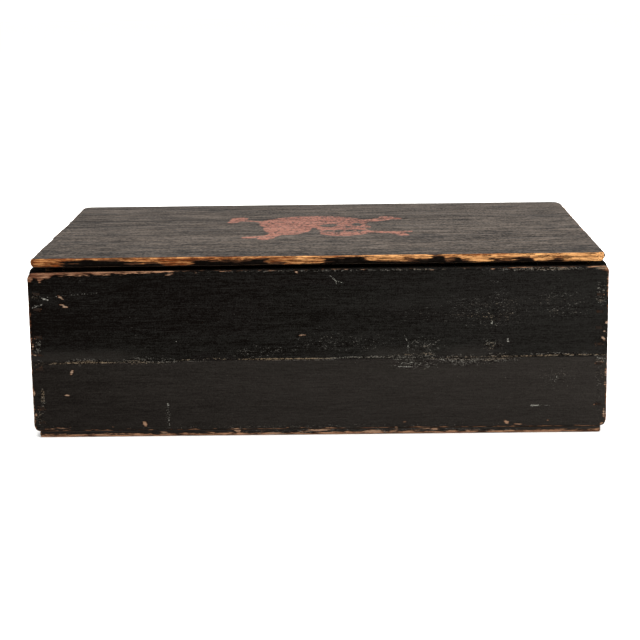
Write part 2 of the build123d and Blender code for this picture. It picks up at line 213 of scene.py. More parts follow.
def linear(hex_code):
    """An sRGB hex colour as linear red, green, blue and alpha."""
    parts = [int(hex_code[i : i + 2], 16) / 255 for i in (1, 3, 5)]
    return tuple(c / 12.92 if c <= 0.04045 else ((c + 0.055) / 1.055) ** 2.4 for c in parts) + (1.0,)


def smooth(low, high, x):
    """0 below low, 1 above high, and the cubic 3t^2 - 2t^3 between them."""
    t = np.clip((x - low) / (high - low), 0.0, 1.0)
    return t * t * (3 - 2 * t)


def value_noise(u, v, seed):
    """A fixed chance number from -1 to 1 at each whole (u, v), with smooth steps between them."""
    iu, iv = np.floor(u), np.floor(v)
    su, sv = smooth(0, 1, u - iu), smooth(0, 1, v - iv)

    def corner(du, dv):
        return np.mod(np.sin((iu + du) * 127.1 + (iv + dv) * 311.7 + seed * 74.7) * 43758.5453, 1.0)

    low = corner(0, 0) * (1 - su) + corner(1, 0) * su
    high = corner(0, 1) * (1 - su) + corner(1, 1) * su
    return 2 * (low * (1 - sv) + high * sv) - 1


def cloud(u, v, seed, octaves=3):
    """A sum of value noises, each twice as fine and half as strong as the last, from about -1 to 1."""
    total = sum(value_noise(u * 2**k, v * 2**k, seed + 17 * k) / 2**k for k in range(octaves))
    return total / (2 - 0.5 ** (octaves - 1))


def ripple(t, seed, octaves=3):
    """Noise along one line."""
    return cloud(t, 0 * t + 0.5, seed, octaves)


def table_value(table, t):
    """Straight lines between the table's (place, value) pairs."""
    places, values = zip(*table)
    return np.interp(t, places, values)


def stations(low, high, step, close):
    """Places from low to high, about a step apart and closer round each (place, reach, fine step) of close.

    The running total of how many are wanted per mm is cut into equal shares.
    """
    t = np.linspace(low, high, 6001)
    wanted = np.full_like(t, 1 / step)
    for place, reach, fine in close:
        near = 1 - smooth(reach, reach + 2 * step, np.abs(t - place))
        wanted = np.maximum(wanted, 1 / step + (1 / fine - 1 / step) * near)
    total = np.concatenate([[0], np.cumsum((wanted[1:] + wanted[:-1]) / 2 * np.diff(t))])
    count = math.ceil(total[-1])
    return np.interp(np.linspace(0, total[-1], count + 1), total, t)


def grid_quads(number):
    """The faces of four corners between a grid's numbered points."""
    corners = number[:-1, :-1], number[1:, :-1], number[1:, 1:], number[:-1, 1:]
    return np.stack(corners, axis=-1).reshape(-1, 4)


def lattice_shell(lines):
    """The outer points of a lattice with the given lines on X, Y and Z, each numbered once.

    So its faces share their points, and the shell is closed. Returns points, faces of four corners that point
    outwards, and the axis and side of each face.
    """
    shape = [len(line) for line in lines]
    outer = np.ones(shape, bool)
    outer[1:-1, 1:-1, 1:-1] = False
    number = np.full(shape, -1)
    number[outer] = np.arange(outer.sum())
    points = np.stack([grid[outer] for grid in np.meshgrid(*lines, indexing="ij")], axis=1)
    faces, kinds = [], []
    for axis, side in FACES.values():
        plane = np.take(number, 0 if side < 0 else -1, axis=axis)
        if axis == 1:
            plane = plane.T
        quads = grid_quads(plane)
        faces.append(quads if side > 0 else quads[:, ::-1])
        kinds.append(np.full((len(quads), 2), (axis, side)))
    return points, np.concatenate(faces), np.concatenate(kinds)


def build_mesh(name, points, faces, attributes, materials, material_rows):
    """A smooth-shaded object from whole arrays: points in mm, and attributes of one number a point."""
    mesh = bpy.data.meshes.new(name)
    mesh.vertices.add(len(points))
    mesh.vertices.foreach_set("co", (points * MM).astype(np.float32).ravel())
    mesh.loops.add(faces.size)
    mesh.loops.foreach_set("vertex_index", faces.astype(np.int32).ravel())
    mesh.polygons.add(len(faces))
    mesh.polygons.foreach_set("loop_start", np.arange(0, faces.size, 4, dtype=np.int32))
    for item in materials:
        mesh.materials.append(item)
    mesh.polygons.foreach_set("material_index", material_rows.astype(np.int32))
    mesh.update(calc_edges=True)
    mesh.shade_smooth()
    for key, values in attributes.items():
        layer = mesh.attributes.new(key, "FLOAT", "POINT")
        layer.data.foreach_set("value", values.astype(np.float32))
    piece = bpy.data.objects.new(name, mesh)
    bpy.context.scene.collection.objects.link(piece)
    return piece


def node_box(node):
    """Lowest and highest corner of a CAD node in mm."""
    return [np.array(corner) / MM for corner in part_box(node)]


# Points of one nail head lie within this reach of each other, and this close to its level, in mm
HEAD_REACH = 8.0
LEVEL_PLAY = 0.05


def plane_axes(face):
    """The two axes that lie in a face, in the order X, Y, Z."""
    return [k for k in range(3) if k != FACES[face][0]]


def head_places(nodes, face):
    """Middles of the nail heads that show on a face, read from the CAD nails in mm.

    The points of a head are those at the nails' highest level, within a head's reach of each other.
    """
    axis, side = FACES[face]
    places = []
    for node in nodes:
        mesh = frame["nodes"][node].data
        points = np.empty(len(mesh.vertices) * 3)
        mesh.vertices.foreach_get("co", points)
        points = points.reshape(-1, 3) / MM
        level = (points[:, axis] * side).max()
        tops = points[points[:, axis] * side > level - LEVEL_PLAY][:, plane_axes(face)]
        while len(tops):
            near = np.abs(tops - tops[0]).max(axis=1) < HEAD_REACH
            places.append(tuple((tops[near].min(axis=0) + tops[near].max(axis=0)) / 2))
            tops = tops[~near]
    return places


def surface_directions(points, faces):
    """The unit direction outwards at each point: the mean of its faces' cross products of diagonals."""
    corners = points[faces]
    across = np.cross(corners[:, 2] - corners[:, 0], corners[:, 3] - corners[:, 1])
    rows = faces.ravel()
    total = [np.bincount(rows, np.repeat(across[:, k], 4), len(points)) for k in range(3)]
    total = np.stack(total, axis=1)
    return total / np.linalg.norm(total, axis=1)[:, None]


# Steps of the boards' lattices along and across the grain in mm, which keep each under 200,000 triangles
FRONT_STEPS = {"upper": (1.88, 1.42), "lower": (1.45, 1.3)}
BACK_STEPS = (2.6, 2.2)
END_STEPS = (2.4, 2.0)
BOTTOM_STEPS = (3.0, 2.8)
LID_STEPS = (1.65, 1.6)
BATTEN_STEPS = (2.6, 1.8)
# The step through every board's thickness, and the finer steps near a board's ends and a nail's pocket
THROUGH_STEP = 2.6
RIM_REACH, RIM_STEP = 1.2, 0.45
POCKET_STEPS = (0.75, 0.7)

# Half length and half width of a nail head's pocket, its depth, and the width of its sloping sides, in mm
POCKET_HALF = (3.3, 1.45)
POCKET_DEPTH = 1.15
POCKET_SIDES = 0.6

# Radius and bare reach in mm of an arris that isn't given: nearly sharp, and painted over
PLAIN_ARRIS = (0.7, 0.0)

# What the fields hold where nothing is marked: the paint is whole, with no scratch and no figure
WHOLE = -9.0
UNSCRATCHED = -5.0
NO_FIGURE = -20.0
# Usual paleness of the bare wood, and lightness of the paint
USUAL_PALE = 0.45
USUAL_LIGHTNESS = 0.5
# How far each board's patterns are moved on from the last board's, in cells
PATTERN_SHIFT = 17.3

# How dry the wood of a chip is, and of one below the given height, and how deep a chip is, in mm
DRY_CHIP, DAMP_CHIP = 0.85, 0.35
DAMP_HEIGHT = 20
CHIP_DEPTH = 0.25


class WornBoard:
    """One board as a rounded, worn surface. Lengths are mm and places are the object's own.

    Its fields have one number a point: bare is mm inside the bare wood, pale and dry are that wood's paleness
    and dryness, sink is how far the surface has gone down, and marks are what else its materials read.
    """

    def __init__(self, node, along, seed, steps, painted=()):
        self.node, self.along, self.seed = node, along, seed
        self.low, self.high = node_box(node)
        self.middle, self.half = (self.low + self.high) / 2, (self.high - self.low) / 2
        self.through = int(np.argmin(self.half))
        self.across = 3 - self.along - self.through
        self.steps = {self.along: steps[0], self.across: steps[1], self.through: THROUGH_STEP}
        self.painted = painted
        self.close = {0: [], 1: [], 2: []}
        self.arrises = {}
        self.pockets = []
        self.marks = {}

    def nails(self, nodes, face):
        """Opens a pocket over each nail head, and draws the lattice closer round it."""
        axes = plane_axes(face)
        for place in head_places(nodes, face):
            if all(self.low[k] < at < self.high[k] for k, at in zip(axes, place)):
                self.pockets.append((face, *place))
                for k, at, half, fine in zip(axes, place, POCKET_HALF, POCKET_STEPS):
                    self.close[k].append((at, half + POCKET_SIDES, fine))

    def wear(self, **relief):
        """Lays the lattice, closer at the board's ends, then rounds its arrises and raises its grain."""
        self.lines = []
        for k in range(3):
            ends = [(self.low[k], RIM_REACH, RIM_STEP), (self.high[k], RIM_REACH, RIM_STEP)]
            self.lines.append(stations(self.low[k], self.high[k], self.steps[k], ends + self.close[k]))
        self.points, self.faces, self.kinds = lattice_shell(self.lines)
        self.local = self.points - self.middle
        self.round_off()
        self.relief(**relief)

    def along_line(self, axis, formula):
        """A formula of the place on one axis, worked out on the lattice's lines and carried to its points."""
        line = self.lines[axis]
        return np.interp(self.points[:, axis], line, formula(line))

    def on_face(self, face, depth=0.8):
        """1 on a face, falling to 0 at a depth below it."""
        axis, side = FACES[face]
        return np.clip(1 - (self.half[axis] - side * self.local[:, axis]) / depth, 0, 1)

    def strip(self, face, field, depth=0.8):
        """Bares a face's wood where a field is above 0, which is mm inside the bare wood."""
        self.bare = np.where(self.on_face(face, depth) > 0, np.maximum(self.bare, field), self.bare)

    def edges(self):
        """Each arris as its direction's axis, its two faces, and the distance of every point from it."""
        for one, other in itertools.combinations(FACES, 2):
            (a, side_a), (b, side_b) = FACES[one], FACES[other]
            if a != b:
                da = self.half[a] - side_a * self.local[:, a]
                db = self.half[b] - side_b * self.local[:, b]
                yield 3 - a - b, one, other, np.hypot(da, db)

    def arris(self, one, other):
        """Radius and bare reach of an arris."""
        return self.arrises.get((one, other), self.arrises.get((other, one), PLAIN_ARRIS))

    def round_off(self):
        """Rounds every arris, those that run through the thickness last, and bares the wood along it.

        Near an arris, u and v are a point's distances from the middle of the arris's circle, as shares of its
        radius. Both are multiplied by 1 - (1 - m / h) * m^2, where m is the larger and h is their distance
        from the middle. So the square's sides, where m is 1, come onto the circle, and nothing folds over.
        """
        self.bare = np.full(len(self.points), WHOLE)
        self.pale = np.full(len(self.points), USUAL_PALE)
        self.dry = np.zeros(len(self.points))
        shaped = self.local.copy()
        order = sorted(self.edges(), key=lambda edge: (edge[0] == self.through, -self.arris(*edge[1:3])[0]))
        for k, (axis, one, other, distance) in enumerate(order):
            radius, reach = self.arris(one, other)
            (a, side_a), (b, side_b) = FACES[one], FACES[other]
            seed = self.seed * 31 + k
            uneven = self.along_line(
                axis, lambda t: 1 + 0.3 * ripple(t / 23, seed) + 0.25 * ripple(t / 5, seed + 5)
            )
            radius = np.clip(radius * uneven, 0.2, 0.95 * min(self.half[a], self.half[b]))
            u = 1 - (self.half[a] - side_a * shaped[:, a]) / radius
            v = 1 - (self.half[b] - side_b * shaped[:, b]) / radius
            larger, middle_distance = np.maximum(u, v), np.maximum(np.hypot(u, v), 1e-9)
            scale = 1 - (1 - larger / middle_distance) * larger**2
            near = (u > 0) & (v > 0)
            shaped[near, a] = side_a * (self.half[a] - radius * (1 - u * scale))[near]
            shaped[near, b] = side_b * (self.half[b] - radius * (1 - v * scale))[near]
            if reach > 0 and (one in self.painted or other in self.painted):
                patchy = self.along_line(
                    axis, lambda t: 1 + ripple(t / 19, seed + 9) + 1.1 * ripple(t / 4, seed + 13)
                )
                self.bare = np.maximum(self.bare, reach * patchy - distance)
        self.shape = self.middle + shaped
        self.outward = surface_directions(self.shape, self.faces)

    def relief(self, depth=0.16, hollow=0.35, ridge=0.12):
        """Sinks the surface below the plane board: raised grain, ridges, planing waves and end grain."""
        along, across = self.points[:, self.along], self.points[:, self.across]
        through = self.points[:, self.through]
        grain = 0.5 + 0.5 * cloud(along / 42, across / 3.1, self.seed + 2, 3)
        ridges = 0.5 + 0.5 * cloud(along / 110, across / 8.5, self.seed + 3, 2)
        waves = 0.5 + 0.5 * cloud(along / 95, across / 34, self.seed + 4, 2)
        end_grain = 0.5 + 0.5 * cloud(across / 3.5, through / 2.2, self.seed + 6, 2)
        wide = np.abs(self.outward[:, self.through])
        end = np.abs(self.outward[:, self.along])
        self.sink = wide * (depth * grain + ridge * ridges + hollow * waves) + end * 0.3 * end_grain + 0.06

    def open_pockets(self):
        """Sinks a flat pocket with sloping sides round each nail head, and bares specks at its rim."""
        for face, a, b in self.pockets:
            first, second = plane_axes(face)
            beyond_a = np.abs(self.points[:, first] - a) - POCKET_HALF[0]
            beyond_b = np.abs(self.points[:, second] - b) - POCKET_HALF[1]
            outside = np.maximum(beyond_a, beyond_b)
            pocket = self.on_face(face) * (1 - smooth(-0.1, POCKET_SIDES, outside))
            self.sink = np.maximum(self.sink, POCKET_DEPTH * pocket)
            rough = cloud(self.points[:, first] / 3.5, self.points[:, second] / 2.2, self.seed + int(a + b))
            self.strip(face, 0.5 * rough - 0.7 - np.abs(outside - 0.5))

    def chips(self, face, table):
        """Ellipses where the paint has gone: bare grows inwards from their rims, and the wood is sunk."""
        first, second = plane_axes(face)
        on_face = self.on_face(face)
        for a, b, half_a, half_b, lean in table:
            if not self.low[second] - 4 < b < self.high[second] + 4:
                continue
            u = (self.points[:, first] - a) / half_a
            v = (self.points[:, second] - b + lean * (self.points[:, first] - a)) / half_b
            inside = (1 - np.hypot(u, v)) * min(half_a, half_b) * 1.8
            self.strip(face, inside)
            gone = on_face * smooth(-0.5, 0.5, inside)
            self.pale += 0.25 * gone
            self.dry = np.maximum(self.dry, gone * (DRY_CHIP if b > DAMP_HEIGHT else DAMP_CHIP))
            self.sink += on_face * CHIP_DEPTH * smooth(-0.2, 0.5, inside)

    def finish(self, materials):
        """Makes the mesh: painted faces take the first material, the others the last."""
        row = np.full(len(self.faces), len(materials) - 1)
        for face in self.painted:
            row[(self.kinds == FACES[face]).all(axis=1)] = 0
        even = {"fade_and_light": USUAL_LIGHTNESS, "cast": 0.0, "crust": 0.0, "scuff": UNSCRATCHED}
        even["shift"] = PATTERN_SHIFT * self.seed
        fields = {"bare": self.bare, "pale": self.pale, "dry": self.dry}
        fields.update({key: np.full(len(self.points), value) for key, value in even.items()})
        fields.update(self.marks)
        points = self.shape - self.outward * self.sink[:, None]
        piece = build_mesh(f"worn_{self.node}", points, self.faces, fields, materials, row)
        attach(piece, frame["nodes"][self.node]["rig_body"])
        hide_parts(self.node)


def oval(x, y, a, b, half_a, half_b):
    """1 in the middle of an ellipse, falling evenly to 0 at its rim and further outside it."""
    return 1 - np.hypot((x - a) / half_a, (y - b) / half_b)


def ellipse(x, y, place):
    """Above 0 inside an ellipse, in mm near its rim."""
    return oval(x, y, *place) * min(place[2:])


def bar(x, y, start_x, start_y, end_x, end_y, half_width):
    """Above 0 within a half width of the straight line from start to end, in mm."""
    dx, dy = end_x - start_x, end_y - start_y
    share = np.clip(((x - start_x) * dx + (y - start_y) * dy) / (dx * dx + dy * dy), 0, 1)
    return half_width - np.hypot(x - start_x - share * dx, y - start_y - share * dy)


def painted_figure(x, y):
    """Above 0 inside the skull and crossbones, in mm near its outline: ellipses and bars joined and cut."""
    head = np.maximum.reduce([ellipse(x, y, part) for part in (CRANIUM, SKULL_BACK, CHEEK)])
    jaw = np.minimum(ellipse(x, y, LOWER_JAW), JAW_RIGHT - x)
    solid = np.maximum(head, jaw)
    for stroke in JAW_CLEFT:
        solid = np.minimum(solid, -bar(x, y, *stroke))
    for hole in (LEFT_EYE, RIGHT_EYE, NOSE):
        solid = np.minimum(solid, -ellipse(x, y, hole))
    mouth = ellipse(x, y, MOUTH)
    for place, half_width in TEETH:
        mouth = np.minimum(mouth, np.abs(x - place) - half_width)
    solid = np.minimum(solid, -mouth)
    for stroke in BONES:
        solid = np.maximum(solid, bar(x, y, *stroke))
    return solid


def on_knot(x, z):
    """From 0 to 1 on the knot's swollen rings, which cross it as level ripples a few mm apart."""
    place, height = KNOT[:2]
    rings = 0.5 + 0.5 * np.cos(2 * np.pi * (z - height + 0.02 * (x - place) ** 2) / 3.2)
    return smooth(0, 0.6, oval(x, z, *KNOT)) * rings


def front_marks(board, tier):
    """A front board's chips, its specks from 0 to 1, mm inside a scratch, and its paint's lightness, which
    rises to the right partly as painted light.
    """
    board.chips("front", FRONT_CHIPS)
    x, _, z = board.points.T
    on_face = board.on_face("front")
    crust = np.zeros(len(x))
    for *patch, strength in FRONT_CRUST:
        crust = np.maximum(crust, strength * smooth(0, 0.7, oval(x, z, *patch)))
    places, *values = zip(*JOINT_CRUST)
    height, half_width, strength = (np.interp(x, places, value) for value in values)
    crust = np.maximum(crust, strength * smooth(0, 0.7, 1.4 - np.abs(z - height) / half_width))
    scuff = np.full(len(x), UNSCRATCHED)
    for stroke in FRONT_SCUFFS:
        scuff = np.maximum(scuff, bar(x, z, *stroke))
    board.marks["crust"] = crust * on_face
    board.marks["scuff"] = np.where(on_face > 0, scuff, UNSCRATCHED)
    # The paint grows lighter to the right: partly dustier paint, partly painted light from the right
    middle, slope = FRONT_FADE_AND_LIGHT[tier]
    board.marks["fade_and_light"] = middle + slope * x / board.half[0]


def add(tree, kind, inputs=None, give=None, **settings):
    """Adds one node with its settings and links, and returns one of its outputs.

    An input is a number, a colour or another node's output, under its socket's name or number. Where give
    names no output, it is the first one that the settings leave in use.
    """
    node = tree.nodes.new(kind)
    for key, value in settings.items():
        setattr(node, key, value)
    for key, value in (inputs or {}).items():
        if isinstance(value, bpy.types.NodeSocket):
            tree.links.new(value, node.inputs[key])
        else:
            node.inputs[key].default_value = value
    outputs = [node.outputs[give]] if give else [output for output in node.outputs if output.enabled]
    return outputs[0] if outputs else None


# A colour Mix node, whose inputs are 0 the share of its second colour, 6 its first colour and 7 its second
MIX = {"kind": "ShaderNodeMix", "data_type": "RGBA"}
# A Math node that gives input 0 times input 1, plus input 2
SCALE_ADD = {"kind": "ShaderNodeMath", "operation": "MULTIPLY_ADD"}
# A Map Range node that goes smoothly from one level to another
STEP = {"kind": "ShaderNodeMapRange", "interpolation_type": "SMOOTHSTEP"}


def step(source, start, end, low=0.0, high=1.0):
    """The inputs of a STEP node, from low at start to high at end."""
    return {"Value": source, "From Min": start, "From Max": end, "To Min": low, "To Max": high}


def new_material(name):
    """An empty material, its node tree and the place on the object."""
    made = bpy.data.materials.new(name)
    made.use_nodes = True
    tree = made.node_tree
    tree.nodes.clear()
    return made, tree, add(tree, "ShaderNodeTexCoord", give="Object")


def wood_patterns(tree, place, along, table):
    """Noises drawn out with the grain: each has its cell's length and width in mm, octaves and roughness.

    Each board carries its own shift, so that no pattern runs on from one board to the next.
    """
    shift = add(tree, "ShaderNodeAttribute", give="Fac", attribute_name="shift")
    made = {}
    for key, (length, width, octaves, rough) in table.items():
        scale = [1 / ((length if k == along else width) * MM) for k in range(3)]
        spread = add(tree, "ShaderNodeVectorMath", {0: place, 1: scale, 2: shift}, operation="MULTIPLY_ADD")
        settings = {"Vector": spread, "Scale": 1.0, "Detail": octaves, "Roughness": rough}
        made[key] = add(tree, "ShaderNodeTexNoise", settings, give="Fac")
    return made


def weighted_sum(tree, noise, start, **weights):
    """start plus each named pattern less its mean of one half, times its weight."""
    total = start
    for key, weight in weights.items():
        centred = add(tree, "ShaderNodeMath", {0: noise[key], 1: 0.5}, operation="SUBTRACT")
        total = add(tree, inputs={0: centred, 1: weight, 2: total}, **SCALE_ADD)
    return total


# Patterns of a painted board: each has its cell's length and width in mm, octaves and roughness
CASE_PATTERNS = {
    "lines": (70, 2.2, 3.0, 0.6),
    "pores": (10, 1.1, 3.0, 0.7),
    "broad": (420, 55, 2.0, 0.5),
    "bands": (180, 9, 4.0, 0.7),
    "hairs": (22, 1.2, 4.0, 0.75),
    "comb": (26, 1.1, 2.0, 0.5),
    "mottle": (14, 5, 4.0, 0.7),
    "tears": (12, 1.4, 3.0, 0.65),
    "flecks": (4, 1.6, 3.0, 0.65),
    "grit": (1.4, 1.1, 2.0, 0.6),
}
# The lid's brush was wider and its top is seen at a slant, so its streaks are drawn wider. Real pores and
# grit are finer than in these tables, which draw them as coarse as they need to show
LID_PATTERNS = {
    **CASE_PATTERNS,
    "pores": (13, 1.7, 4.0, 0.8),
    "lines": (40, 2.0, 4.0, 0.65),
    "broad": (300, 45, 2.0, 0.5),
    "bands": (100, 9, 4.0, 0.75),
    "hairs": (26, 4.5, 4.0, 0.75),
    "comb": (34, 2.4, 3.0, 0.6),
    "strokes": (48, 4.4, 3.0, 0.65),
    "tears": (24, 1.3, 4.0, 0.7),
    "flecks": (11, 4, 3.0, 0.65),
    "grit": (2.6, 3.2, 2.0, 0.6),
    "dapple": (5, 6, 3.0, 0.7),
}
# Patterns of bare pine, with wide stains
BARE_PATTERNS = {
    "lines": (150, 2.4, 4.0, 0.6),
    "pores": (11, 0.6, 2.0, 0.5),
    "mottle": (70, 16, 3.0, 0.6),
    "tears": (40, 1.1, 3.0, 0.6),
    "stain": (110, 45, 3.0, 0.5),
}
# How much each pattern lightens and darkens the paint
CASE_WEIGHTS = dict(broad=0.9, bands=0.7, comb=1.2, hairs=0.9, mottle=0.4, flecks=1.2, grit=2.0)
LID_WEIGHTS = dict(broad=0.5, bands=0.6, strokes=1.7, hairs=0.4, comb=0.8, flecks=1.0, grit=1.6)
# Where the pores of bare wood begin and are full, as a level of their pattern, and how dark they are
FINE_PORES = (0.58, 0.72, 0.7)
CRACKED_PORES = (0.52, 0.6, 0.85)


def pine_colour(tree, noise, share, pale, deep, dirt, pores=FINE_PORES):
    """Bare pine: pale early wood, deeper late wood in lines a few mm apart, and dirt in streaks and pores."""
    share = weighted_sum(tree, noise, share, lines=2.6, mottle=2.0, tears=1.5)
    body = add(tree, inputs={0: share, 6: deep, 7: pale}, **MIX)
    streak = add(tree, inputs=step(noise["tears"], 0.38, 0.52, 0.75, 0.0), **STEP)
    body = add(tree, inputs={0: streak, 6: body, 7: dirt}, **MIX)
    start, end, dark = pores
    pore = add(tree, inputs=step(noise["pores"], start, end, 0.0, dark), **STEP)
    return add(tree, inputs={0: pore, 6: body, 7: dirt}, **MIX)


def black_painted_pine(name, along, low, high, worn, contrast=1.0, crusted=False, figured=False):
    """Pine under old brushed black oil paint, worn through on its arrises.

    Brush streaks and raised grain run with the board. The paint is dull black with a brown cast, and where it
    has gone the wood shows, with a rim that is ragged along the grain and dark with dirt.
    """
    s = bpy.context.scene.pine_box
    made, tree, place = new_material(name)
    names = ["bare", "pale", "dry", "fade_and_light", "cast"]
    names += ["crust", "scuff"] * crusted + ["figure", "thick"] * figured
    field = {key: add(tree, "ShaderNodeAttribute", give="Fac", attribute_name=key) for key in names}
    noise = wood_patterns(tree, place, along, LID_PATTERNS if figured else CASE_PATTERNS)
    weights = LID_WEIGHTS if figured else CASE_WEIGHTS
    weights = {key: weight * contrast for key, weight in weights.items()}
    share = weighted_sum(tree, noise, field["fade_and_light"], **weights)
    paint = add(tree, inputs={0: share, 6: low, 7: high}, **MIX)
    # cast turns the paint toward another colour: on the lid toward black, for dirt in its joints and painted
    # shade at its front edge; on the case toward the lower boards' lighter paint
    paint = add(tree, inputs={0: field["cast"], 6: paint, 7: s.upper_low if figured else s.lower_high}, **MIX)
    if figured:
        thin = weighted_sum(tree, noise, field["bare"], tears=16.0, comb=8.0)
        thin = add(tree, inputs=step(thin, -1.5, -0.5, 0.0, 0.8), **STEP)
        paint = add(tree, inputs={0: thin, 6: paint, 7: s.stained_wood}, **MIX)
    wood = pine_colour(tree, noise, field["pale"], *worn, pores=CRACKED_PORES if figured else FINE_PORES)
    wood = add(tree, inputs={0: field["dry"], 6: wood, 7: s.dry_wood}, **MIX)
    ragged = weighted_sum(tree, noise, field["bare"], tears=9.0, mottle=4.0, comb=5.0 if figured else 1.5)
    bare = add(tree, inputs=step(ragged, -0.1, 0.35), **STEP)
    rim = add(tree, inputs=step(ragged, 0.1, 1.3, 0.85, 0.0), **STEP)
    wood = add(tree, inputs={0: rim, 6: wood, 7: worn[2]}, **MIX)
    colour = add(tree, inputs={0: bare, 6: paint, 7: wood}, **MIX)
    height = weighted_sum(tree, noise, 0.0, hairs=0.9, mottle=0.6, flecks=0.6, grit=0.4)
    height = add(tree, inputs={0: bare, 1: -0.35, 2: height}, **SCALE_ADD)
    if crusted:
        colour, height = crust_over(tree, noise, field, colour, height)
    if figured:
        colour = figure_over(tree, noise, field, share, colour)
    gloss = add(tree, inputs=step(noise["bands"], 0.3, 0.7, 0.5, 0.68), **STEP)
    rough = add(tree, "ShaderNodeMix", {0: bare, 2: gloss, 3: 0.8}, data_type="FLOAT")
    bump = add(tree, "ShaderNodeBump", {"Height": height, "Strength": 0.8, "Distance": 0.0005})
    settings = {"Base Color": colour, "Roughness": rough, "Specular IOR Level": 0.02, "Normal": bump}
    add(tree, "ShaderNodeOutputMaterial", {0: add(tree, "ShaderNodeBsdfPrincipled", settings)})
    return made


def crust_over(tree, noise, field, colour, height):
    """Lays dark cracks, dried grey and tan specks that stand up, and pale scratches over the paint."""
    s = bpy.context.scene.pine_box
    lumps = weighted_sum(tree, noise, 0.5, flecks=0.6, grit=0.7)
    lumps = add(tree, inputs={0: field["crust"], 1: 0.30, 2: lumps}, **SCALE_ADD)
    speck = add(tree, inputs=step(lumps, 0.70, 0.84, 0.0, 0.75), **STEP)
    cracks = weighted_sum(tree, noise, 0.5, flecks=-0.8, comb=0.6)
    cracks = add(tree, inputs={0: field["crust"], 1: 0.28, 2: cracks}, **SCALE_ADD)
    cracks = add(tree, inputs=step(cracks, 0.70, 0.80, 0.0, 0.8), **STEP)
    torn = weighted_sum(tree, noise, field["scuff"], grit=4.0, mottle=3.0)
    scratch = add(tree, inputs=step(torn, -0.1, 0.8, 0.0, 0.8), **STEP)
    tan = add(tree, inputs={0: field["crust"], 1: 0.25, 2: noise["bands"]}, **SCALE_ADD)
    tan = add(tree, inputs=step(tan, 0.62, 0.78), **STEP)
    crust = add(tree, inputs={0: tan, 6: s.dust_colour, 7: s.crust_colour}, **MIX)
    for share, over in ((cracks, s.upper_low), (speck, crust), (scratch, s.scuff_colour)):
        colour = add(tree, inputs={0: share, 6: colour, 7: over}, **MIX)
    return colour, add(tree, inputs={0: speck, 1: 0.7, 2: height}, **SCALE_ADD)


def figure_over(tree, noise, field, share, colour):
    """Lays the figure's red paint over the black, with a ragged outline, and flaked off where it is thin."""
    s = bpy.context.scene.pine_box
    outline = weighted_sum(tree, noise, field["figure"], mottle=6.0, tears=3.0)
    drawn = add(tree, inputs=step(outline, -0.5, 1.0), **STEP)
    kept = weighted_sum(tree, noise, field["thick"], dapple=2.5, flecks=1.5, bands=1.0, grit=1.5)
    kept = add(tree, inputs=step(kept, 0.2, 0.6, 0.05, 1.0), **STEP)
    drawn = add(tree, "ShaderNodeMath", {0: drawn, 1: kept}, operation="MULTIPLY")
    redness = add(tree, inputs=step(share, 0.0, 0.65), **STEP)
    red = add(tree, inputs={0: redness, 6: s.figure_deep, 7: s.figure_pale}, **MIX)
    return add(tree, inputs={0: drawn, 6: colour, 7: red}, **MIX)


def aged_pine(name, along):
    """Unpainted pine, planed by hand and browned by a century of air: dull, with darker late wood lines."""
    s = bpy.context.scene.pine_box
    made, tree, place = new_material(name)
    noise = wood_patterns(tree, place, along, BARE_PATTERNS)
    wood = pine_colour(tree, noise, 0.5, s.aged_pale, s.aged_deep, s.aged_dark)
    stain = add(tree, inputs=step(noise["stain"], 0.42, 0.68, 0.0, 0.5), **STEP)
    wood = add(tree, inputs={0: stain, 6: wood, 7: s.aged_dark}, **MIX)
    # cast turns the wood toward the black paint: a dark joint along the bottom boards' outer edge, and
    # painted shade on the lid's underside behind its front edge and on the battens' front ends
    cast = add(tree, "ShaderNodeAttribute", give="Fac", attribute_name="cast")
    wood = add(tree, inputs={0: cast, 6: wood, 7: s.upper_low}, **MIX)
    bump = add(tree, "ShaderNodeBump", {"Height": noise["lines"], "Strength": 0.5, "Distance": 0.0004})
    settings = {"Base Color": wood, "Roughness": 0.78, "Specular IOR Level": 0.25, "Normal": bump}
    add(tree, "ShaderNodeOutputMaterial", {0: add(tree, "ShaderNodeBsdfPrincipled", settings)})
    return made


def rolled_iron(name, steel, rust, cell, rusted, bright=0.9):
    """Rolled wrought iron with scale and rust: dark grey metal, with matt brown patches a few mm across.

    cell is a patch's width in mm, rusted is how much rust lies between patches, and bright is how much of the
    iron's own gloss shows there, which is little under old paint.
    """
    made, tree, place = new_material(name)
    noise = wood_patterns(tree, place, 0, {"patches": (cell, cell, 4.0, 0.6), "pits": (0.8, 0.8, 3.0, 0.5)})
    share = add(tree, inputs=step(noise["patches"], 0.42, 0.62, rusted, 1.0), **STEP)
    colour = add(tree, inputs={0: share, 6: linear(steel), 7: linear(rust)}, **MIX)
    metal = add(tree, inputs=step(noise["patches"], 0.4, 0.62, bright, 0.1), **STEP)
    rough = add(tree, inputs=step(noise["patches"], 0.4, 0.65, 0.42, 0.85), **STEP)
    bump = add(tree, "ShaderNodeBump", {"Height": noise["pits"], "Strength": 0.5, "Distance": 0.0002})
    settings = {"Base Color": colour, "Metallic": metal, "Roughness": rough, "Normal": bump}
    settings["Specular IOR Level"] = 0.5 * bright
    add(tree, "ShaderNodeOutputMaterial", {0: add(tree, "ShaderNodeBsdfPrincipled", settings)})
    return made


def colour_setting(name, description, hex_code):
    """A setting for a colour, whose default is given as sRGB hex."""
    return bpy.props.FloatVectorProperty(
        name=name, description=description, default=linear(hex_code), size=4, min=0, max=1, subtype="COLOR"
    )


def amount_setting(name, description, default, low, unit):
    """A setting for a length or a power."""
    return bpy.props.FloatProperty(name=name, description=description, default=default, min=low, unit=unit)


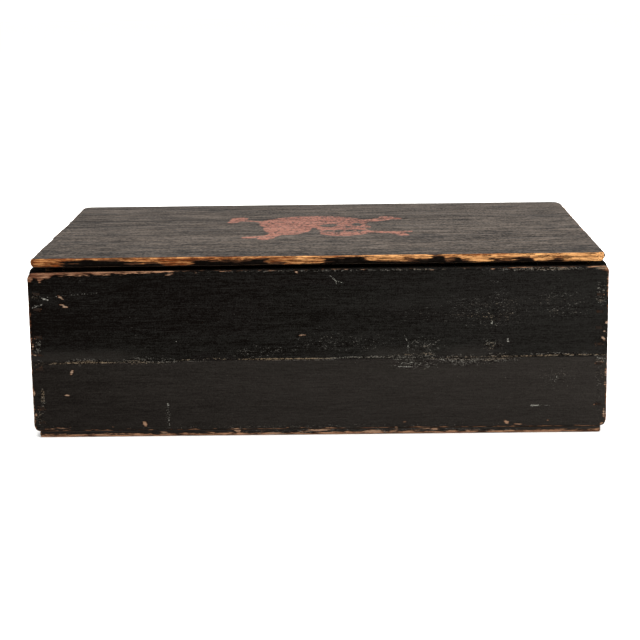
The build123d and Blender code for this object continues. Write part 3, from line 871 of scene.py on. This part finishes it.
class PineBoxSettings(bpy.types.PropertyGroup):
    """Colours and sizes that a user would change."""

    lid_low: colour_setting("Lid paint, dark", "Darker streaks of the lid's paint", "#0E0A07")
    lid_high: colour_setting("Lid paint, light", "Lighter streaks of the lid's paint", "#574E46")
    upper_low: colour_setting("Upper boards, dark", "Darker streaks of the upper boards' paint", "#030100")
    upper_high: colour_setting("Upper boards, light", "Lighter streaks of that paint", "#181715")
    # The lower boards' paint is lighter than the upper boards': partly dustier paint, partly painted light
    # thrown up from the pale floor
    lower_low: colour_setting("Lower boards, dark", "Darker streaks of the lower boards' paint", "#0C0907")
    lower_high: colour_setting("Lower boards, light", "Lighter streaks of that paint", "#262320")
    worn_pale: colour_setting("Worn pine, pale", "Pale wood where the paint has gone", "#C48F5A")
    worn_deep: colour_setting("Worn pine, deep", "Deeper lines in that wood", "#5E2F14")
    stained_wood: colour_setting("Thin paint", "Wood under the thin paint of the lid's edge", "#4A3020")
    worn_dirt: colour_setting("Worn pine, dirt", "Dirt in pores and at the paint's rim", "#24140A")
    case_pale: colour_setting("Worn case, pale", "Pale wood where the case's paint has gone", "#86644C")
    case_deep: colour_setting("Worn case, deep", "Deeper lines in that wood", "#4A2A1C")
    dry_wood: colour_setting("Chips", "Dried wood where the paint has chipped", "#7E6C5C")
    # The inside pine is dark: partly age and dirt, partly painted shade for the inside seen through the gap
    # under the lid
    aged_pale: colour_setting("Inside pine, pale", "Pale wood inside the box", "#7A5B3B")
    aged_deep: colour_setting("Inside pine, deep", "Deeper lines inside the box", "#5A3F28")
    aged_dark: colour_setting("Inside pine, stain", "Stains and pores inside the box", "#34241A")
    figure_pale: colour_setting("Figure, pale", "Paler paint of the figure", "#7A5346")
    figure_deep: colour_setting("Figure, deep", "Deeper paint of the figure", "#59372E")
    crust_colour: colour_setting("Crust", "Tan flecks along the joint", "#6A5B49")
    dust_colour: colour_setting("Dust", "Grey dried specks", "#5A5751")
    scuff_colour: colour_setting("Scuffs", "Fine scratches in the paint", "#807E76")
    key_power: amount_setting("Overhead light", "Power of the soft light above", 150.0, 0, "POWER")
    side_power: amount_setting("Side light", "Power of the soft light at the right", 60.0, 0, "POWER")
    floor_size: amount_setting("Floor", "Width of the stage's floor", 30.0, 2, "LENGTH")


MATERIALS = {}


def surface(key):
    """A piece's material, made the first time it is asked for."""
    if key in MATERIALS:
        return MATERIALS[key]
    s = bpy.context.scene.pine_box
    lid, upper, lower = (s.lid_low, s.lid_high), (s.upper_low, s.upper_high), (s.lower_low, s.lower_high)
    lid_wood = s.worn_pale, s.worn_deep, s.worn_dirt
    case_wood = s.case_pale, s.case_deep, s.worn_dirt
    kinds = {
        "lid": (black_painted_pine, "lid_black_paint_on_pine", 0, *lid, lid_wood, 1.0, False, True),
        "upper": (black_painted_pine, "upper_black_paint_on_pine", 0, *upper, case_wood, 1.1, True),
        # The lower boards' lighter paint is partly painted light from the floor
        "lower": (black_painted_pine, "lower_black_paint_on_pine", 0, *lower, case_wood, 0.6, True),
        "end_upper": (black_painted_pine, "upper_end_black_paint", 1, *upper, case_wood),
        "end_lower": (black_painted_pine, "lower_end_black_paint", 1, *lower, case_wood),
        "inside_x": (aged_pine, "aged_planed_pine", 0),
        "inside_y": (aged_pine, "aged_planed_pine_across", 1),
        # The nail heads are nearly black: painted over, and partly painted shade of the holes they sit sunk
        # in
        "nail": (rolled_iron, "painted_cut_nail_iron", "#0C0A08", "#20140C", 2.5, 0.3, 0.15),
        "hinge": (rolled_iron, "rusted_rolled_iron", "#34312E", "#42281A", 5.0, 0.25, 0.8),
        "pin": (rolled_iron, "drawn_iron_pin", "#6A6662", "#5A3A24", 3.0, 0.1),
        "screw": (rolled_iron, "turned_iron_screw", "#5C5854", "#4C2E1C", 2.0, 0.2),
    }
    maker, *values = kinds[key]
    MATERIALS[key] = maker(*values)
    return MATERIALS[key]


class PINEBOX_OT_side_boards(bpy.types.Operator):
    """Makes the front and back boards, upper and lower, with their marks and nail pockets."""

    bl_idname = "pine_box.side_boards"
    bl_label = "Front and Back Boards"

    def execute(self, context):
        for seed, (face, tier) in enumerate(itertools.product(("front", "back"), ("upper", "lower")), 1):
            steps = FRONT_STEPS[tier] if face == "front" else BACK_STEPS
            painted = (face, "left", "right", "top", "under")
            board = WornBoard(f"{face}_{tier}_board", 0, seed, steps, painted)
            inner = "back" if face == "front" else "front"
            joint, rim = ("under", "top") if tier == "upper" else ("top", "under")
            board.arrises = {
                (face, joint): (0.8, 0.0),
                (face, rim): (1.2, 0.0 if face == "front" and tier == "upper" else 0.5),
                (face, "left"): (2.0, 1.0),
                (face, "right"): (2.0, 0.7 if tier == "upper" else 1.1),
                ("left", rim): (6.5 if tier == "upper" else 8.5, 1.2),
                ("right", rim): (5.5 if tier == "upper" else 8.5, 1.2),
                (inner, rim): (1.0, 0.6),
            }
            board.nails([f"{face}_left_nails", f"{face}_right_nails"], face)
            board.wear()
            x, _, z = board.points.T
            if face == "front" and tier == "upper":
                patchy = board.along_line(0, lambda t: 1 + 0.4 * ripple(t / 11, 71) + 0.4 * ripple(t / 3, 72))
                board.strip("front", table_value(RIM_BARE, x) * patchy - (board.high[2] - z), 3.0)
                share = smooth(0.4, 1.0, (z - board.low[2]) / (board.high[2] - board.low[2]))
                board.shape[:, 2] -= share * table_value(RIM_HOLLOW, x)
                board.pale = table_value(RIM_PALE, x)
            if face == "front":
                front_marks(board, tier)
            if face == "front" and tier == "upper":
                # Near its foot the upper board's paint turns in patches toward the lower boards' lighter
                # paint
                foot_blend = 0.4 * smooth(17, 4, z - board.low[2])
                board.marks["cast"] = foot_blend * smooth(-0.3, 0.4, ripple(x / 80, 74, 2))
                knot = on_knot(x, z)
                board.marks["fade_and_light"] -= 0.4 * knot
                board.sink += 0.3 * knot * board.on_face("front")
            if face == "front" and tier == "lower":
                board.strip("front", table_value(SEAM_BARE, x) - 0.6 - (z - board.low[2]), 2.0)
            board.open_pockets()
            board.finish([surface(tier), surface("inside_x")])
        return {"FINISHED"}


class PINEBOX_OT_end_boards(bpy.types.Operator):
    """Makes the four end boards between front and back."""

    bl_idname = "pine_box.end_boards"
    bl_label = "End Boards"

    def execute(self, context):
        for seed, (side, tier) in enumerate(itertools.product(("left", "right"), ("upper", "lower")), 11):
            # The end boards' front and back faces take the black paint too, so the strip of them that shows
            # in the gap under the lid is dark: painted shade in the gap
            painted = (side, "front", "back", "top", "under")
            board = WornBoard(f"{side}_end_{tier}_board", 1, seed, END_STEPS, painted)
            board.arrises = {(side, "top"): (7.0, 0.6)} if tier == "upper" else {(side, "under"): (5.0, 1.4)}
            board.wear()
            board.finish([surface(f"end_{tier}"), surface("inside_y")])
        return {"FINISHED"}


class PINEBOX_OT_bottom_boards(bpy.types.Operator):
    """Makes the three bottom boards, whose edges show under the sides."""

    bl_idname = "pine_box.bottom_boards"
    bl_label = "Bottom Boards"

    def execute(self, context):
        for seed, (name, outer) in enumerate((("front", "front"), ("middle", None), ("rear", "back")), 21):
            painted = ("left", "right", outer) if outer else ("left", "right")
            board = WornBoard(f"bottom_{name}_board", 0, seed, BOTTOM_STEPS, painted)
            board.arrises = {(end, "under"): (2.4, 1.6) for end in ("left", "right")}
            if outer:
                board.arrises[(outer, "under")] = (1.2, 1.9)
                board.arrises.update({(outer, end): (2.5, 0.6) for end in ("left", "right")})
            board.nails(["bottom_nails"], "under")
            board.wear(hollow=0.2)
            z = board.points[:, 2]
            if outer:
                board.marks["cast"] = board.on_face(outer, 6.0) * (z > board.high[2] - 0.5)
            if outer == "front":
                middle, wander = BOTTOM_LINE
                reach = board.along_line(
                    0, lambda t: middle + wander * ripple(t / 30, 91) + wander * ripple(t / 5, 92)
                )
                board.strip("front", reach - (z - board.low[2]), 2.0)
                board.pale[:] = 0.8
                front_marks(board, "lower")
            board.open_pockets()
            board.finish([surface("lower"), surface("inside_x")])
        return {"FINISHED"}


def wear_lid_edge(board):
    """Bares the lid's front edge from its top down, drawn out along the grain, and roughens it."""
    x, _, z = board.points.T
    patchy = 2.2 * cloud(x / 34, z / 2.0, 81, 4)
    drawn_out = x + 11 * cloud(x / 60, z / 1.5, 83, 2)
    bare_height = table_value(LID_EDGE_BARE, drawn_out) * 2 * board.half[2]
    board.strip("front", bare_height - (board.high[2] - z) + patchy, 2.0)
    board.sink += board.on_face("front", 2.0) * (0.25 + 0.25 * cloud(x / 8, z / 2.2, 82, 3))


def trim_ends(board, trims):
    """Draws a board's ends in by its trims, with straight lines from front to rear.

    The share of a trim falls inwards from the end by the eighth power. The smaller of an end's two trims is
    in the CAD board already.
    """
    left_near, left_far, right_near, right_far = trims
    depth = (board.points[:, 1] - board.low[1]) / (board.high[1] - board.low[1])
    left = left_near + (left_far - left_near) * depth
    right = right_near + (right_far - right_near) * depth
    share = np.clip((board.local[:, 0] / board.half[0] + 1) / 2, 0, 1)
    inset = min(left_near, left_far), min(right_near, right_far)
    board.shape[:, 0] += (left - inset[0]) * (1 - share) ** 8 - (right - inset[1]) * share**8


class PINEBOX_OT_lid_boards(bpy.types.Operator):
    """Makes the three lid boards with their worn front edge and the painted figure."""

    bl_idname = "pine_box.lid_boards"
    bl_label = "Lid Boards"

    def execute(self, context):
        middle_y = (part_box("lid_front_board")[0].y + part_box("lid_rear_board")[1].y) / 2 / MM
        joints = {"front": ("back",), "middle": ("front", "back"), "rear": ("front",)}
        for seed, (name, joined) in enumerate(joints.items(), 31):
            painted = ("top", "left", "right", "front", "back")
            board = WornBoard(f"lid_{name}_board", 0, seed, LID_STEPS, painted)
            corners = itertools.product(("top", "under"), ("left", "right"))
            board.arrises = {corner: (5.0 if name == "front" else 3.2, 0.7) for corner in corners}
            if name == "front":
                board.arrises.update({("top", "front"): (2.6, 1.0), ("under", "front"): (2.8, 0.0)})
                board.arrises.update({("left", "front"): (8.0, 5.0), ("right", "front"): (13.0, 8.0)})
            if name == "rear":
                board.arrises.update({("top", "back"): (2.6, 0.3), ("under", "back"): (2.8, 0.0)})
                board.arrises.update({("left", "back"): (14.0, 0.0), ("right", "back"): (16.0, 0.0)})
            board.close[2] = [(board.middle[2], 6, 1.1)]
            board.wear(ridge=0.45)
            if name == "front":
                wear_lid_edge(board)
            trim_ends(board, LID_END_TRIMS[board.node])
            x, y, z = board.points.T
            y_off = y - middle_y
            figure = painted_figure(x, y_off - FIGURE_BEHIND)
            board.marks["figure"] = np.where(board.on_face("top") > 0, figure, NO_FIGURE)
            board.marks["thick"] = 0.62 - 0.13 * smooth(-10, 60, x)
            # The bare wood is paler to the right, as painted light from the right, and changes at random
            # along the lid
            board.pale = 0.35 + 0.35 * x / board.half[0] + 0.25 * ripple(x / 45, 85, 2)
            # The paint is lighter to the right and the rear, as painted sheen where the lid catches the light
            # at its right rear, and lighter in a band in front of the middle
            fade_and_light = 0.29 + 0.035 * y_off / 200 + 0.044 * x / board.half[0]
            board.marks["fade_and_light"] = fade_and_light + 0.06 * np.exp(-(((y + 55) / 50) ** 2))
            # Dirt lies in the joints and has spread from the rear joint. The front edge's paint and lower
            # arris, and the underside just behind it, are darkened partly by dirt and partly as painted shade
            # under the overhanging edge
            board.marks["cast"] = 0.9 * np.maximum.reduce([board.on_face(face, 1.3) for face in joined])
            if name == "front":
                # Painted shade on the underside just behind the front edge, where the lid overhangs the gap
                beneath = board.on_face("front", 9.0) * (z < board.low[2] + 2)
                dirt_and_shade = 0.95 * np.maximum(board.on_face("front", 2.0), beneath)
            else:
                dirt_and_shade = board.on_face("back" if name == "middle" else "front", 10.0)
                dirt_and_shade = dirt_and_shade * table_value(JOINT_STREAK, x)
            board.marks["cast"] = np.maximum(board.marks["cast"], dirt_and_shade)
            board.finish([surface("lid"), surface("inside_x")])
        return {"FINISHED"}


class PINEBOX_OT_battens(bpy.types.Operator):
    """Makes the two battens inside the lid."""

    bl_idname = "pine_box.battens"
    bl_label = "Battens"

    def execute(self, context):
        for seed, side in enumerate(("left", "right"), 41):
            board = WornBoard(f"lid_{side}_batten", 1, seed, BATTEN_STEPS)
            board.arrises = {("under", face): (2.8, 0.0) for face in ("left", "right", "front", "back")}
            board.nails([f"lid_{side}_batten_nails"], "under")
            board.wear(hollow=0.2)
            board.open_pockets()
            # The battens' front ends are darkened as painted shade, deep in the gap under the lid's edge
            board.marks["cast"] = 0.85 * board.on_face("front")
            board.finish([surface("inside_y")])
        return {"FINISHED"}


class PINEBOX_OT_ironwork(bpy.types.Operator):
    """Gives the CAD hinges, pins, screws and nails their metal."""

    bl_idname = "pine_box.ironwork"
    bl_label = "Ironwork"

    def execute(self, context):
        kinds = {"leaf": "hinge", "pin": "pin", "screws": "screw", "nails": "nail"}
        for name, node in frame["nodes"].items():
            kind = kinds.get(name.split("_")[-1])
            if kind:
                for holder in node.material_slots:
                    holder.material = surface(kind)
        return {"FINISHED"}


# Strength of the white light from all round
WORLD_STRENGTH = 1.12

# The photograph's camera: focal length in pixels of its 640 frame, place in metres, and turns in degrees
FRAME_PIXELS = 640
FOCAL_PIXELS = 1700
CAMERA_PLACE = (0.0287, -1.950, 0.4894)
CAMERA_YAW = -0.869
CAMERA_PITCH = 11.761
CAMERA_ROLL = -0.808
SENSOR_MM = 36.0


class PINEBOX_OT_stage(bpy.types.Operator):
    """Makes the pale floor, the soft lights and the camera."""

    bl_idname = "pine_box.stage"
    bl_label = "Stage"

    def execute(self, context):
        s = context.scene.pine_box
        scene = context.scene
        floor_sheet(s.floor_size)
        world = bpy.data.worlds.new("studio_white")
        world.use_nodes = True
        background = world.node_tree.nodes["Background"]
        background.inputs["Color"].default_value = linear("#FFFFFF")
        background.inputs["Strength"].default_value = WORLD_STRENGTH
        scene.world = world
        soft_light("overhead", place=(0.2, 0.6, 2.6), target=(0.1, 0.1, 0.1), size=3.2, power=s.key_power)
        soft_light("right_side", place=(2.4, -1.6, 1.3), target=(0.1, 0.0, 0.1), size=1.6, power=s.side_power)
        scene.view_settings.view_transform = "Standard"
        scene.view_settings.look = "None"
        scene.camera = photograph_camera()
        return {"FINISHED"}


def floor_sheet(size):
    """A flat square sheet at the height of 0, of 64 squares."""
    line = np.linspace(-size / 2, size / 2, 9)
    x, y = np.meshgrid(line, line, indexing="ij")
    points = np.stack([x, y, 0 * x], axis=-1).reshape(-1, 3)
    quads = grid_quads(np.arange(x.size).reshape(x.shape))
    paper, tree, _ = new_material("white_paper_sweep")
    settings = {"Base Color": linear("#F4F4F2"), "Roughness": 0.9, "Specular IOR Level": 0.1}
    add(tree, "ShaderNodeOutputMaterial", {0: add(tree, "ShaderNodeBsdfPrincipled", settings)})
    return build_mesh("pale_floor", points / MM, quads, {}, [paper], np.zeros(len(quads)))


def soft_light(name, place, target, size, power):
    """A square area light at a place, turned towards a target."""
    data = bpy.data.lights.new(name, "AREA")
    data.size = size
    data.energy = power
    light = bpy.data.objects.new(name, data)
    bpy.context.scene.collection.objects.link(light)
    back = np.array(place) - np.array(target)
    azimuth = math.atan2(back[0], -back[1])
    tilt = math.atan2(math.hypot(back[0], back[1]), back[2])
    turn = Matrix.Rotation(azimuth, 4, "Z") @ Matrix.Rotation(tilt, 4, "X")
    light.matrix_world = Matrix.Translation(place) @ turn


def photograph_camera():
    """The camera that sees the box as the photograph does."""
    data = bpy.data.cameras.new("photograph_view")
    data.sensor_width = SENSOR_MM
    data.lens = SENSOR_MM * FOCAL_PIXELS / FRAME_PIXELS
    data.clip_end = 100.0
    camera = bpy.data.objects.new("photograph_view", data)
    bpy.context.scene.collection.objects.link(camera)
    turn = (
        Matrix.Rotation(math.radians(-CAMERA_YAW), 4, "Z")
        @ Matrix.Rotation(math.radians(90 - CAMERA_PITCH), 4, "X")
        @ Matrix.Rotation(math.radians(CAMERA_ROLL), 4, "Z")
    )
    camera.matrix_world = Matrix.Translation(CAMERA_PLACE) @ turn
    return camera


OPERATORS = (
    PINEBOX_OT_stage,
    PINEBOX_OT_side_boards,
    PINEBOX_OT_end_boards,
    PINEBOX_OT_bottom_boards,
    PINEBOX_OT_lid_boards,
    PINEBOX_OT_battens,
    PINEBOX_OT_ironwork,
)


class PINEBOX_PT_sidebar(bpy.types.Panel):
    """Lists the settings and the operators."""

    bl_label = "Pine Box"
    bl_space_type = "VIEW_3D"
    bl_region_type = "UI"
    bl_category = "Pine Box"

    def draw(self, context):
        for operator in OPERATORS:
            self.layout.operator(operator.bl_idname)
        for key in PineBoxSettings.__annotations__:
            self.layout.prop(context.scene.pine_box, key)


CLASSES = (PineBoxSettings, *OPERATORS, PINEBOX_PT_sidebar)


def register():
    for item in CLASSES:
        bpy.utils.register_class(item)
    bpy.types.Scene.pine_box = bpy.props.PointerProperty(type=PineBoxSettings)


def unregister():
    del bpy.types.Scene.pine_box
    for item in reversed(CLASSES):
        bpy.utils.unregister_class(item)


def main():
    register()
    for operator in OPERATORS:
        group, name = operator.bl_idname.split(".")
        getattr(getattr(bpy.ops, group), name)()


if __name__ == "__main__":
    main()
